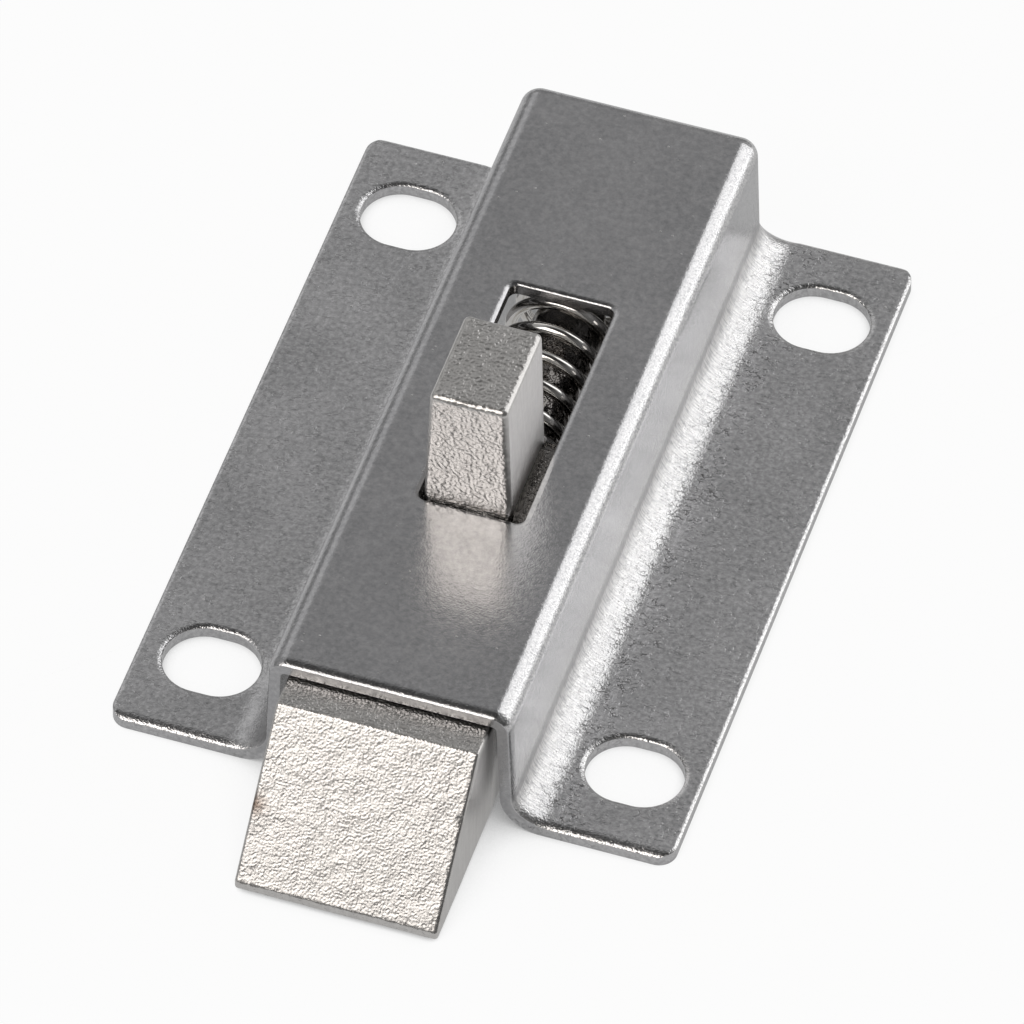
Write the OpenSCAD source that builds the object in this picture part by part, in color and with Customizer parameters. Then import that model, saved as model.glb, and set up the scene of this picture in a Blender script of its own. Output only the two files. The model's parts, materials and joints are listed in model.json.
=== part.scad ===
// Spring door bolt.
// A pressed sheet housing is screwed flat to a door. A cast bolt with a wedge nose slides inside it.
// A coil spring pushes the nose out, and a thumb knob that stands through a window draws it back.
// Frame: X across the plate, -Y towards the nose, Z up from the door face.
// The origin is the centre of the four screw slots, on the face that meets the door.

/* [Plate] */
// Length of the plate, along the bolt's travel
plate_len = 56; // [50:0.5:70]
// Width of the plate over both flanges
plate_w = 40; // [37:0.5:60]
// Thickness of the sheet
sheet = 1; // [0.6:0.1:1.2]
// Radius of the plate's four corners, seen from above
plate_corner_r = 1.3; // [0.5:0.1:3]

/* [Channel] */
// Width of the channel over its walls, at the top
channel_w = 17.1; // [15:0.1:19]
// Height of the channel's top above the door face
channel_h = 11; // [10.5:0.1:14]
// How far each side wall leans out on the way down, in degrees
wall_lean = 2.3; // [0:0.1:4]
// Inside radius of the bends at the channel's top
top_bend_r = 0.4; // [0.2:0.1:1]
// Radius of the bend from the wall to the flange, on the visible side
foot_bend_r = 1.9; // [0.8:0.1:2.4]

/* [Screw slots] */
// Sheet left between the end of a slot and the plate's long edge
slot_edge = 1.25; // [0.8:0.05:2]
// Sheet left between the side of a slot and the plate's short edge
slot_end = 3.55; // [1.5:0.05:12]
// Length of a slot across the plate, end to end
slot_len = 7.1; // [6:0.1:8]
// Width of a slot
slot_w = 5.9; // [3:0.1:5.9]

/* [Window] */
// Width of the window that the knob stands through
window_w = 7.8; // [7.2:0.1:10]
// Length of the window
window_len = 20.4; // [14:0.1:22]
// How far the window's front edge lies from the front of the plate
window_setback = 16.9; // [14:0.1:18]
// Radius of the window's corners
window_corner_r = 0.45; // [0.2:0.05:1]

/* [Bolt] */
// Width of the bolt's body and nose
bolt_w = 14.3; // [12:0.1:14.3]
// Gap between the body and the top of the channel
bolt_gap_top = 0.3; // [0.2:0.05:0.6]
// Gap between the body and the door face
bolt_gap_door = 0.3; // [0.2:0.05:0.6]
// How far the nose stands out of the housing
nose_out = 11.1; // [6:0.1:11.5]
// Length of the nose's flat top, outside the housing
nose_flat = 2.3; // [1:0.1:4]
// Height of the nose's upright front face
nose_tip_h = 1; // [0.5:0.1:3]
// How far the body goes on behind the knob
body_tail = 1; // [0.5:0.1:3]
// Radius of the casting's edges along the body and the nose
nose_edge_r = 0.3; // [0.1:0.05:0.6]

/* [Thumb knob] */
// Length of the knob along the travel
knob_len = 7.5; // [5:0.1:8]
// Width of the knob at the channel's top
knob_w = 6.1; // [4:0.1:6.4]
// Width of the knob at its own top
knob_top_w = 5.3; // [3:0.1:6]
// Height of the knob above the channel
knob_h = 10.4; // [6:0.1:14]
// Radius of the knob's edges
knob_edge_r = 0.4; // [0.1:0.05:0.8]
// Gap between the knob and the end of the window, at rest and drawn back
knob_stop_gap = 0.1; // [0.05:0.05:0.3]

/* [Spring] */
// Diameter of the spring wire
wire_d = 0.9; // [0.6:0.05:1]
// Outside diameter of the coils
spring_d = 9; // [8:0.1:9.2]
// Number of open turns between the two closed end turns
open_turns = 11; // [8:1:12]
// Gap between each end of the spring and what it pushes on
spring_end_gap = 0.1; // [0.05:0.05:0.2]
// Where the first turn starts, in degrees from the top of the coil
coil_start = 218; // [0:1:359]

/* [Stem] */
// Diameter of the stem that guides the spring
stem_d = 5.4; // [4:0.1:5.8]
// Gap between the end of the stem and the housing when the bolt is drawn back
stem_end_gap = 1.4; // [0.5:0.1:4]
// Bevel at the end of the stem
stem_bevel = 0.6; // [0.2:0.1:1]

/* [Hidden] */
// Overshoot of a cut past the face that it opens
past = 1;
// Straight steps in the arc of one bend
bend_steps = 8;
$fn = 64;

// Places along the travel
front_y = -plate_len / 2;
back_y = plate_len / 2;
back_inside_y = back_y - sheet;
window_front_y = front_y + window_setback;
window_back_y = window_front_y + window_len;
knob_front_y = window_front_y + knob_stop_gap;
knob_back_y = knob_front_y + knob_len;
bolt_rear_y = knob_back_y + body_tail;
travel = window_len - knob_len - 2 * knob_stop_gap;

// Centres of the screw slots, from the edges of the plate
slot_x = plate_w / 2 - slot_edge - slot_len / 2;
slot_y = plate_len / 2 - slot_end - slot_w / 2;

// Heights
channel_inside_h = channel_h - sheet;
bolt_top_z = channel_inside_h - bolt_gap_top;
axis_z = (bolt_gap_door + bolt_top_z) / 2;

// Channel walls: the outside line passes through the top corner and leans out going down
lean_run = tan(wall_lean);
top_bend_outer_r = top_bend_r + sheet;
foot_bend_under_r = foot_bend_r + sheet;
// Distance from a corner of the outline to where its bend begins, for a bend of radius 1
bend_reach = tan((90 - wall_lean) / 2);
top_bend_x = channel_w / 2 - top_bend_outer_r * bend_reach;
top_bend_z = channel_h - top_bend_outer_r;
foot_bend_x = channel_w / 2 + lean_run * (channel_h - sheet) + foot_bend_r * bend_reach;
foot_bend_z = sheet + foot_bend_r;

// Spring: two closed end turns, one wire apart, and open turns between them
coil_r = (spring_d - wire_d) / 2;
spring_front_y = bolt_rear_y + spring_end_gap + wire_d / 2;
spring_back_y = back_inside_y - spring_end_gap - wire_d / 2;
open_pitch = (spring_back_y - spring_front_y - 2 * wire_d) / open_turns;
spring_turns = open_turns + 2;
wire_sides = 8;
steps_per_turn = 24;
coil_steps = spring_turns * steps_per_turn;

// Stem
stem_end_y = back_inside_y - travel - stem_end_gap;

// Points on an arc about a centre, from one angle to another
function arc(centre, r, from_deg, to_deg) =
    [for (i = [0 : bend_steps])
        let (a = from_deg + (to_deg - from_deg) * i / bend_steps)
        centre + r * [cos(a), sin(a)]];

// The same points on the other side of the middle plane, in reverse order
function mirrored(points) =
    [for (i = [len(points) - 1 : -1 : 0]) [-points[i][0], points[i][1]]];

// Right half of the sheet's upper face in section, from the flange's edge to the top
function upper_face() = concat(
    [[plate_w / 2, 0], [plate_w / 2, sheet]],
    arc([foot_bend_x, foot_bend_z], foot_bend_r, 270, 180 + wall_lean),
    arc([top_bend_x, top_bend_z], top_bend_outer_r, wall_lean, 90));

// Right half of the sheet's under face in section, from below the door face to the top
function under_face() = concat(
    [[foot_bend_x, -past]],
    arc([foot_bend_x, foot_bend_z], foot_bend_under_r, 270, 180 + wall_lean),
    arc([top_bend_x, top_bend_z], top_bend_r, wall_lean, 90));

// Block with the given half section across, its front at y0 and its back at y1
module run_along_y(half_section, y0, y1) {
    translate([0, y1, 0])
        rotate([90, 0, 0])
            linear_extrude(y1 - y0)
                polygon(concat(half_section, mirrored(half_section)));
}

// Block that rounds off the back of the channel's top, with the given height, back and bend radius
module back_rounding(top_z, y1, r) {
    y0 = front_y - 2 * past;
    z0 = -2 * past;
    rotate([90, 0, 90])
        linear_extrude(plate_w + 2 * past, center = true)
            polygon(concat([[y0, top_z], [y0, z0], [y1, z0]], arc([y1 - r, top_z - r], r, 0, 90)));
}

// Rectangle about the origin with round corners, standing from z0 to z1
module rounded_block(size_x, size_y, r, z0, z1) {
    right = size_x / 2 - r;
    rear = size_y / 2 - r;
    half = concat(arc([right, -rear], r, -90, 0), arc([right, rear], r, 0, 90));
    translate([0, 0, z0])
        linear_extrude(z1 - z0)
            polygon(concat(half, mirrored(half)));
}

// Cut for one screw slot, long across the plate
module slot_cut() {
    half_run = (slot_len - slot_w) / 2;
    depth = sheet + 2 * past;
    translate([0, 0, -past]) {
        for (side = [-1, 1])
            translate([side * half_run, 0, 0])
                cylinder(h = depth, d = slot_w);
        translate([-half_run, -slot_w / 2, 0])
            cube([2 * half_run, slot_w, depth]);
    }
}

// Pressed sheet housing: flanges, channel with a closed back, window and screw slots
module housing() {
    color("#8c8c8e")
        difference() {
            intersection() {
                run_along_y(upper_face(), front_y, back_y);
                back_rounding(channel_h, back_y, top_bend_outer_r);
                rounded_block(plate_w, plate_len, plate_corner_r, 0, channel_h);
            }
            intersection() {
                run_along_y(under_face(), front_y - past, back_inside_y);
                back_rounding(channel_inside_h, back_inside_y, top_bend_r);
            }
            for (x = [-1, 1], y = [-1, 1])
                translate([x * slot_x, y * slot_y, 0])
                    slot_cut();
            translate([0, (window_front_y + window_back_y) / 2, 0])
                rounded_block(window_w, window_len, window_corner_r, channel_inside_h - past, channel_h + past);
        }
}

// Prism that rounds an edge off when it is taken away. The edge runs up from the origin, and the
// two faces that meet in it lie towards -X and -Y
module edge_cut(r, run) {
    translate([0, 0, -past])
        linear_extrude(run + 2 * past)
            polygon(concat(
                [[past, past], [-r - past, past]],
                arc([-r, -r], r, 90, 0),
                [[past, -r - past]]));
}

// Body and wedge nose, drawn from the side, with the edges of the visible faces rounded
module bolt_body() {
    tip_y = front_y - nose_out;
    tip_z = bolt_gap_door + nose_tip_h;
    ridge_y = front_y - nose_flat;
    slope = atan2(bolt_top_z - tip_z, ridge_y - tip_y);
    difference() {
        rotate([90, 0, 90])
            linear_extrude(bolt_w, center = true)
                polygon([
                    [bolt_rear_y, bolt_gap_door],
                    [bolt_rear_y, bolt_top_z],
                    [ridge_y, bolt_top_z],
                    [tip_y, tip_z],
                    [tip_y, bolt_gap_door]]);
        for (side = [0, 1])
            mirror([side, 0, 0])
                translate([bolt_w / 2, 0, 0]) {
                    translate([0, bolt_rear_y, bolt_top_z])
                        rotate([90, 0, 0])
                            edge_cut(nose_edge_r, bolt_rear_y - ridge_y);
                    translate([0, ridge_y, bolt_top_z])
                        rotate([90 + slope, 0, 0])
                            edge_cut(nose_edge_r, norm([ridge_y - tip_y, bolt_top_z - tip_z]));
                    translate([0, tip_y, tip_z])
                        rotate([180, 0, 0])
                            edge_cut(nose_edge_r, nose_tip_h);
                }
    }
}

// Thumb knob, drawn from the front: it narrows towards its top, and its edges are rounded
module knob() {
    lean = atan2((knob_w - knob_top_w) / 2, knob_h);
    top_z = channel_h + knob_h;
    root_x = knob_w / 2 + tan(lean) * (channel_h - axis_z);
    corner_x = knob_top_w / 2 - knob_edge_r * tan((90 - lean) / 2);
    half = concat([[root_x, axis_z]], arc([corner_x, top_z - knob_edge_r], knob_edge_r, lean, 90));
    translate([0, (knob_front_y + knob_back_y) / 2, 0])
        difference() {
            run_along_y(half, -knob_len / 2, knob_len / 2);
            for (end = [0, 1])
                mirror([0, end, 0]) {
                    translate([-knob_w / 2, knob_len / 2, top_z])
                        rotate([90, 0, 90])
                            edge_cut(knob_edge_r, knob_w);
                    for (side = [0, 1])
                        mirror([side, 0, 0])
                            translate([root_x, knob_len / 2, axis_z])
                                rotate([0, -lean, 0])
                                    edge_cut(knob_edge_r, (top_z - axis_z) / cos(lean));
                }
        }
}

// Round stem behind the body, bevelled at its end
module stem() {
    root_y = bolt_rear_y - past;
    straight = stem_end_y - stem_bevel - root_y;
    translate([0, root_y, axis_z])
        rotate([-90, 0, 0]) {
            cylinder(h = straight, d = stem_d);
            translate([0, 0, straight])
                cylinder(h = stem_bevel, d1 = stem_d, d2 = stem_d - 2 * stem_bevel);
        }
}

// Cast bolt
module bolt() {
    color("#b4b0aa")
        union() {
            bolt_body();
            knob();
            stem();
        }
}

// Place along the travel of the wire's middle after so many turns from the front
function coil_y(turn) =
    turn < 1 ? spring_front_y + wire_d * turn
    : turn < 1 + open_turns ? spring_front_y + wire_d + open_pitch * (turn - 1)
    : spring_back_y - wire_d * (spring_turns - turn);

// Ring of points round the wire at one step of the coil; the coil is wound left-handed
function wire_ring(step) =
    let (turn = step / steps_per_turn, a = coil_start - 360 * turn)
    [for (k = [0 : wire_sides - 1])
        let (b = 360 * k / wire_sides, r = coil_r + wire_d / 2 * cos(b))
        [r * sin(a), coil_y(turn) + wire_d / 2 * sin(b), axis_z + r * cos(a)]];

// Coil spring, at its length with the bolt out
module spring() {
    points = [for (i = [0 : coil_steps], p = wire_ring(i)) p];
    last = coil_steps * wire_sides;
    sides = [for (i = [0 : coil_steps - 1], k = [0 : wire_sides - 1])
        let (next = (k + 1) % wire_sides, here = i * wire_sides, there = here + wire_sides)
        [here + k, there + k, there + next, here + next]];
    first_cap = [for (k = [0 : wire_sides - 1]) k];
    last_cap = [for (k = [wire_sides - 1 : -1 : 0]) last + k];
    color("#5a5a5c")
        polyhedron(points, concat([first_cap], sides, [last_cap]), convexity = 10);
}

housing();
bolt();
spring();
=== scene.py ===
# %% [markdown]
# # Spring door bolt
# A pressed sheet housing is screwed flat to a door. A cast bolt with a wedge nose slides inside it,
# a coil spring pushes the nose out, and a thumb knob that stands through a window draws it back.
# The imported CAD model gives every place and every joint. This lesson builds the surfaces that the eye
# sees: a sheet with rolled edges, a casting with its grain, and a smooth coil of wire.

# %% Load the frame
import json
import math

import bmesh
import bpy
import numpy as np
from mathutils import Matrix, Vector, noise

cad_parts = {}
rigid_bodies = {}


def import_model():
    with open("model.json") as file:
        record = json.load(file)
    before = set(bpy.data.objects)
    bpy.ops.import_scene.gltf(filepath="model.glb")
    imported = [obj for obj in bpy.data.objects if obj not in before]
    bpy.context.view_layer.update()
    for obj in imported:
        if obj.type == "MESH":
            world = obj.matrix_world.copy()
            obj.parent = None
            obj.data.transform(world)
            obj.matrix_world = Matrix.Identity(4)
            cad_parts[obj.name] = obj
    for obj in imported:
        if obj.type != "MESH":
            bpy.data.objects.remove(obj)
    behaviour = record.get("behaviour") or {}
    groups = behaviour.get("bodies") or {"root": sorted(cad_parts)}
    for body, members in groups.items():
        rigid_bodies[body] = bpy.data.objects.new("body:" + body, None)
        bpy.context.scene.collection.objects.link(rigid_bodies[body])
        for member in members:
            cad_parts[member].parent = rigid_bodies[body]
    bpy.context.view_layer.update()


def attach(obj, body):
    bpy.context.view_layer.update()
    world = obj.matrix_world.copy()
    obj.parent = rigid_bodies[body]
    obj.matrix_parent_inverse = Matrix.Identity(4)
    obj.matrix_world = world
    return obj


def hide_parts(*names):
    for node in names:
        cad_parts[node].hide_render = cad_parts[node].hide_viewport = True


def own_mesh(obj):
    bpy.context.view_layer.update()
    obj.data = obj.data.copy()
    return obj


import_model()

# %% [markdown]
# ## Camera
# The photograph was taken from the front right, about 49 degrees above the door face, with a long
# lens, so the edges of the plate stay nearly parallel. Azimuth, elevation, roll and distance were
# fitted to points read off its edges. A camera looks along its own -Z, so its rotation is built from
# the three directions right, up and back. A Track To constraint could aim it too, but knows no roll.

# %% Camera
MM = 0.001
IMAGE_PX = 1024
FOCAL_PX = 12666.5
SENSOR_MM = 36
AZIMUTH, ELEVATION, ROLL = (math.radians(a) for a in (17.654, 49.133, 0.690))
CAMERA_DISTANCE = 865.78 * MM
LOOK_AT = Vector((0.593, -3.17, 2.231)) * MM

back = Vector((math.sin(AZIMUTH) * math.cos(ELEVATION),
               -math.cos(AZIMUTH) * math.cos(ELEVATION),
               math.sin(ELEVATION)))
right = Vector((math.cos(AZIMUTH), math.sin(AZIMUTH), 0))
axes = Matrix((right, back.cross(right), back)).transposed()
camera = bpy.data.objects.new("camera", bpy.data.cameras.new("camera"))
camera.data.sensor_width = SENSOR_MM
camera.data.lens = FOCAL_PX * SENSOR_MM / IMAGE_PX
camera.matrix_world = (Matrix.Translation(LOOK_AT + back * CAMERA_DISTANCE)
                       @ (axes @ Matrix.Rotation(ROLL, 3, "Z")).to_4x4())
bpy.context.scene.collection.objects.link(camera)
bpy.context.scene.camera = camera
print("camera lens %.1f mm at" % camera.data.lens, [round(c, 4) for c in camera.location])

# %% [markdown]
# ## From lists of points to objects
# Every piece below is worked out as plain lists of points in millimetres. One function turns such
# lists into a mesh object in metres. A second one joins or cuts closed meshes with the Boolean
# modifier and keeps the result. A third one skins a stack of outlines, as a boat is planked over
# its frames.

# %% Mesh helpers
def mesh_object(name, points_mm, faces):
    """Make a mesh object from points in millimetres, with all its faces turned outwards."""
    mesh = bpy.data.meshes.new(name)
    mesh.from_pydata([tuple(p) for p in np.asarray(points_mm) * MM], [], faces)
    mesh.update()
    shell = bmesh.new()
    shell.from_mesh(mesh)
    bmesh.ops.recalc_face_normals(shell, faces=shell.faces)
    shell.to_mesh(mesh)
    shell.free()
    obj = bpy.data.objects.new(name, mesh)
    bpy.context.scene.collection.objects.link(obj)
    return obj


def combine(obj, others, operation):
    """Join other closed meshes to an object, or cut them out of it, and delete them."""
    for other in others:
        step = obj.modifiers.new(operation.lower(), "BOOLEAN")
        step.operation, step.object, step.solver = operation, other, "EXACT"
    graph = bpy.context.evaluated_depsgraph_get()
    result = bpy.data.meshes.new_from_object(obj.evaluated_get(graph))
    obj.modifiers.clear()
    obj.data = result
    for other in others:
        bpy.data.objects.remove(other)
    return obj


def loft(name, outlines):
    """Closed solid through a stack of outlines with the same number of points each."""
    count = len(outlines[0])
    points = [p for outline in outlines for p in outline]
    faces = []
    for low, high in ((i * count, (i + 1) * count) for i in range(len(outlines) - 1)):
        for k in range(count):
            after = (k + 1) % count
            faces.append([low + k, low + after, high + after, high + k])
    last = (len(outlines) - 1) * count
    faces += [list(range(count))[::-1], [last + k for k in range(count)]]
    return mesh_object(name, points, faces)


print("mesh helpers:", [helper.__name__ for helper in (mesh_object, combine, loft)])

# %% [markdown]
# ## Housing: sizes and the sheared edge
# The housing is one sheet, 1 mm thick, pressed into a hat: two flanges, two walls that lean a little,
# a flat top and a drawn end at the back. Where a sheet is sheared or punched, its upper edge is dragged
# down first and then breaks off. So the edge starts as a wide, shallow roll and ends in a tight one,
# which is why it catches light as a thin line. Three arcs in a row give that profile, where a plain
# bevel would give a single one.

# %% Housing sizes and sheared edge
PLATE_LEN, PLATE_W, SHEET, PLATE_CORNER_R = 56, 40, 1, 1.3
CHANNEL_W, CHANNEL_H, WALL_LEAN = 17.1, 11, math.radians(2.3)
TOP_BEND_R, FOOT_BEND_R, FOOT_RUN, BACK_R = 0.4, 1.9, 2.7, 1.35
# start angle, end angle and radius of each arc, from the face to the cut
EDGE_TURNS = [(0, 20, 1.6), (20, 42, 0.6), (42, 90, 0.08)]
ARC_STEPS, BEND_STEPS = 6, 20

front_y, back_y = -PLATE_LEN / 2, PLATE_LEN / 2
top_r = TOP_BEND_R + SHEET
bend_reach = math.tan((math.pi / 2 - WALL_LEAN) / 2)
top_bend_x = CHANNEL_W / 2 - top_r * bend_reach
top_bend_z = CHANNEL_H - top_r
foot_bend_x = CHANNEL_W / 2 + math.tan(WALL_LEAN) * (CHANNEL_H - SHEET) + FOOT_BEND_R * bend_reach
foot_bend_z = SHEET + FOOT_BEND_R

profile = [(0, 0)]
for start, end, r in EDGE_TURNS:
    angles = np.radians(np.linspace(start, end, ARC_STEPS + 1))
    out, down = profile[-1]
    for a in angles[1:]:
        profile.append((out + r * (math.sin(a) - math.sin(angles[0])),
                        down + r * (math.cos(angles[0]) - math.cos(a))))
edge_out, edge_down = np.array(profile).T
edge_in = edge_out[-1] - edge_out
print("sheared edge: %.2f mm wide, %.2f mm deep" % (edge_in[0], edge_down[-1]))

# %% [markdown]
# ## Housing: the sheet's section
# The outer face is written as a section seen from the front: the edge of the flange, the foot bend,
# the wall and the top bend. Each row also holds the outward direction there, and a share that says how
# the sheet ends at the back: 0 where it is sheared off, 1 where it is drawn over into the end wall. The
# foot bend runs out softly on the flange, so it is a quarter of an ellipse and not of a circle.

# %% Housing section
SIDE_SHARE = 0.4
FLAT_GUARD = 0.25
WALL_STOPS = (0.04, 0.35, 0.65, 0.96)


def arc(centre, r, start, end, steps):
    """Points on an arc about a centre, angles in radians."""
    return [(centre[0] + r * math.cos(a), centre[1] + r * math.sin(a))
            for a in np.linspace(start, end, steps + 1)]


def section(half_w):
    """Right half of the outer face: x, z, outward x, outward z and share of the drawn back end."""
    rows = [(half_w, 0, 0, 0, 0)]
    # the long edges of the flanges are rolled over less than the ends
    rows += [(half_w - SIDE_SHARE * d, SHEET - SIDE_SHARE * depth, 0, 0, 0)
             for d, depth in zip(edge_in[::-1], edge_down[::-1])]
    last = math.atan2(FOOT_RUN, FOOT_BEND_R * math.tan(WALL_LEAN))
    wall_z = foot_bend_z - FOOT_BEND_R * math.cos(last)
    foot_x = CHANNEL_W / 2 + math.tan(WALL_LEAN) * (CHANNEL_H - wall_z) + FOOT_RUN * math.sin(last)
    rows.append((half_w - SIDE_SHARE * edge_in[0] - FLAT_GUARD, SHEET, 0, 1, 0))
    rows.append((foot_x + FLAT_GUARD, SHEET, 0, 1, 0))
    for a in np.linspace(0, last, BEND_STEPS + 1):
        away = np.array([math.sin(a) / FOOT_RUN, math.cos(a) / FOOT_BEND_R])
        away /= np.linalg.norm(away)
        rows.append((foot_x - FOOT_RUN * math.sin(a), foot_bend_z - FOOT_BEND_R * math.cos(a),
                     *away, a / last))
    foot = np.array(rows[-1][:2])
    head = np.array(arc((top_bend_x, top_bend_z), top_r, WALL_LEAN, WALL_LEAN, 0)[0])
    for t in WALL_STOPS:
        rows.append((*(foot + (head - foot) * t), math.cos(WALL_LEAN), math.sin(WALL_LEAN), 1))
    for a in np.linspace(WALL_LEAN, math.pi / 2, BEND_STEPS + 1):
        turn = math.cos(a), math.sin(a)
        rows.append((top_bend_x + top_r * turn[0], top_bend_z + top_r * turn[1], *turn, 1))
    rows.append((top_bend_x - FLAT_GUARD, CHANNEL_H, 0, 1, 1))
    return np.array(rows)


print("section:", len(section(PLATE_W / 2)), "points a side")

# %% [markdown]
# ## Housing: the sweep
# The section is carried from the front to the back as a stack of outlines. Near each end the sheet
# sinks along its own outward direction: by the sheared edge at the front and at the flanges' back, and
# by a quarter circle at the channel's back, which makes the drawn end. The plate's corners come from
# narrowing the outline near both ends. A bevel modifier could round these edges too, but it tears
# where a bend runs into a flat face.

# %% Housing sweep
CORNER_STEPS = 14
LEVEL_GAP = 0.02
# room for rounding errors in comparisons
TINY = 1e-9


def sunk(r, distance):
    """Depth of a rounded edge of radius r at a distance from the end face."""
    return r - np.sqrt(r ** 2 - (r - np.minimum(distance, r)) ** 2)


def sheared(distance):
    """Depth of a sheared edge at a distance from the end face."""
    return np.interp(distance, edge_in[::-1], edge_down[::-1])


def station(y):
    """Whole outline of the solid hat at one place along its length."""
    ends = y - front_y, back_y - y
    rows = section(PLATE_W / 2 - sunk(PLATE_CORNER_R, min(ends)))
    drawn_share = rows[:, 4]
    depth = sheared(ends[0]) + drawn_share * sunk(BACK_R, ends[1]) + (1 - drawn_share) * sheared(ends[1])
    x, z = rows[:, 0] - depth * rows[:, 2], rows[:, 1] - depth * rows[:, 3]
    # the flange's own edge never stands above the sunk face
    z = np.where(rows[:, 1] <= SHEET + TINY, np.minimum(z, SHEET - depth), z)
    side = np.column_stack([x, np.full(len(x), y), z])
    return [tuple(p) for p in side] + [tuple(p) for p in side[::-1] * (-1, 1, 1)]


def near_end(r):
    """Distances from an end at which an outline is needed for its sheared edge and for a rounding."""
    turn = r * (1 - np.cos(np.linspace(0, math.pi / 2, CORNER_STEPS + 1)))
    return np.concatenate([edge_in, turn[turn > edge_in[0] + LEVEL_GAP], [r + FLAT_GUARD]])


ys = np.unique(np.concatenate([front_y + near_end(PLATE_CORNER_R), [0], back_y - near_end(BACK_R)]))
housing = loft("housing_sheet", [station(y) for y in ys])
print("solid hat:", len(ys), "outlines")

# %% [markdown]
# ## Housing: hollow, slots and window
# Such a sheet is usually punched first and then pressed. Here the hollow, the four slots and the window
# are cut out of the solid hat. Each punch flares at its top, because a punch rolls the edge over where it
# enters. Punched holes sit up to a few tenths of a millimetre off their marks, each in its own way, and
# the drift of each slot and of the window is kept as on the real piece.

# %% Housing cuts
SLOT_LEN, SLOT_W, SLOT_X, SLOT_Y = 6.85, 5.65, 15.2, 21.5
SLOT_DRIFT = {(-1, -1): (0.35, 0.18), (-1, 1): (0.09, -0.05), (1, -1): (0.11, 0.06), (1, 1): (-0.06, 0)}
WINDOW_X, WINDOW_W, WINDOW_LEN, WINDOW_SETBACK, WINDOW_CORNER_R = 0.13, 7.55, 20.5, 16.85, 0.6
PUNCH_SHARE = 0.6
PUNCH_FLARE = 0.5
HOLE_STEPS = 16
SAME_PLACE = 1e-6
# how far a cutter reaches past the faces that it cuts
PAST = 1
HOLLOW_CORNER_R = 0.3


def ring(half_x, half_y, r, x, y, z):
    """Rounded rectangle about a centre at one height."""
    quarter = arc((half_x - r, half_y - r), r, 0, math.pi / 2, HOLE_STEPS)
    half = quarter + [(-a, b) for a, b in reversed(quarter)]
    whole = half + [(-a, -b) for a, b in half]
    return [(x + a, y + b, z) for i, (a, b) in enumerate(whole)
            if math.dist((a, b), whole[i - 1]) > SAME_PLACE]


def punch(half_x, half_y, r, x, y, top):
    """Cutter through the sheet under a height, flared where the edge is rolled over."""
    levels = [(top - SHEET - PAST, 0)]
    levels += [(top - PUNCH_SHARE * depth, PUNCH_SHARE * d)
               for depth, d in zip(edge_down[:0:-1], edge_in[:0:-1])]
    levels += [(top + PAST, PUNCH_SHARE * edge_in[0] + PUNCH_FLARE)]
    return loft("punch", [ring(half_x + d, half_y + d, r + d, x, y, z) for z, d in levels])


def cavity_level(x, z):
    """Outline of the hollow at one height, open at the front."""
    sink = TOP_BEND_R - math.sqrt(max(TOP_BEND_R ** 2 - max(z - top_bend_z, 0) ** 2, 0))
    end = back_y - SHEET - sink
    corner = arc((x - HOLLOW_CORNER_R, end - HOLLOW_CORNER_R), HOLLOW_CORNER_R, 0, math.pi / 2, ARC_STEPS)
    side = [(x, front_y - PAST, z)] + [(*p, z) for p in corner]
    return side + [(-a, b, c) for a, b, c in reversed(side)]


foot_inside = arc((foot_bend_x, foot_bend_z), FOOT_BEND_R + SHEET,
                  1.5 * math.pi, math.pi + WALL_LEAN, BEND_STEPS)
top_inside = arc((top_bend_x, top_bend_z), TOP_BEND_R, WALL_LEAN, math.pi / 2, BEND_STEPS)
levels = [(foot_bend_x, -PAST)] + foot_inside + top_inside
cuts = [loft("hollow", [cavity_level(x, z) for x, z in levels])]
for (sx, sy), (dx, dy) in SLOT_DRIFT.items():
    cuts.append(punch(SLOT_LEN / 2, SLOT_W / 2, SLOT_W / 2, sx * SLOT_X + dx, sy * SLOT_Y + dy, SHEET))
window_y = front_y + WINDOW_SETBACK + WINDOW_LEN / 2
cuts.append(punch(WINDOW_W / 2, WINDOW_LEN / 2, WINDOW_CORNER_R, WINDOW_X, window_y, CHANNEL_H))
housing = combine(housing, cuts, "DIFFERENCE")
print("housing sheet:", len(housing.data.polygons), "faces after", len(SLOT_DRIFT) + 2, "cuts")

# %% [markdown]
# ## Housing: smooth bends, crisp flats
# Smooth shading blends the directions of neighbouring faces, which is right on a bend. Next to a wide
# level face even a small blend shows as a false shadow, so an edge beside a level face stays sharp
# unless the sheet turns there by less than 1.5 degrees. Elsewhere only real corners stay sharp.

# %% Housing shading
LEVEL_TURN, CORNER_TURN = math.radians(1.5), math.radians(25)
LEVEL_NORMAL_Z = 0.99999

sheet = bmesh.new()
sheet.from_mesh(housing.data)
for face in sheet.faces:
    face.smooth = True
for seam in sheet.edges:
    if len(seam.link_faces) == 2:
        level = max(abs(face.normal.z) for face in seam.link_faces) > LEVEL_NORMAL_Z
        seam.smooth = seam.calc_face_angle(0) < (LEVEL_TURN if level else CORNER_TURN)
print("housing sheet:", sum(not seam.smooth for seam in sheet.edges), "sharp edges")
sheet.to_mesh(housing.data)
sheet.free()
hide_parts("housing")
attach(housing, "plate")

# %% [markdown]
# ## Bolt: blocks made of a fine grid
# The bolt is one steel casting: a body with a wedge nose, the thumb knob on top, and a round stem
# behind. A cast block has no straight line on it, and a bevel with a bump map would leave its outline
# straight. So the body and the knob are fine grids of points, which later steps can push about.

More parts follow.
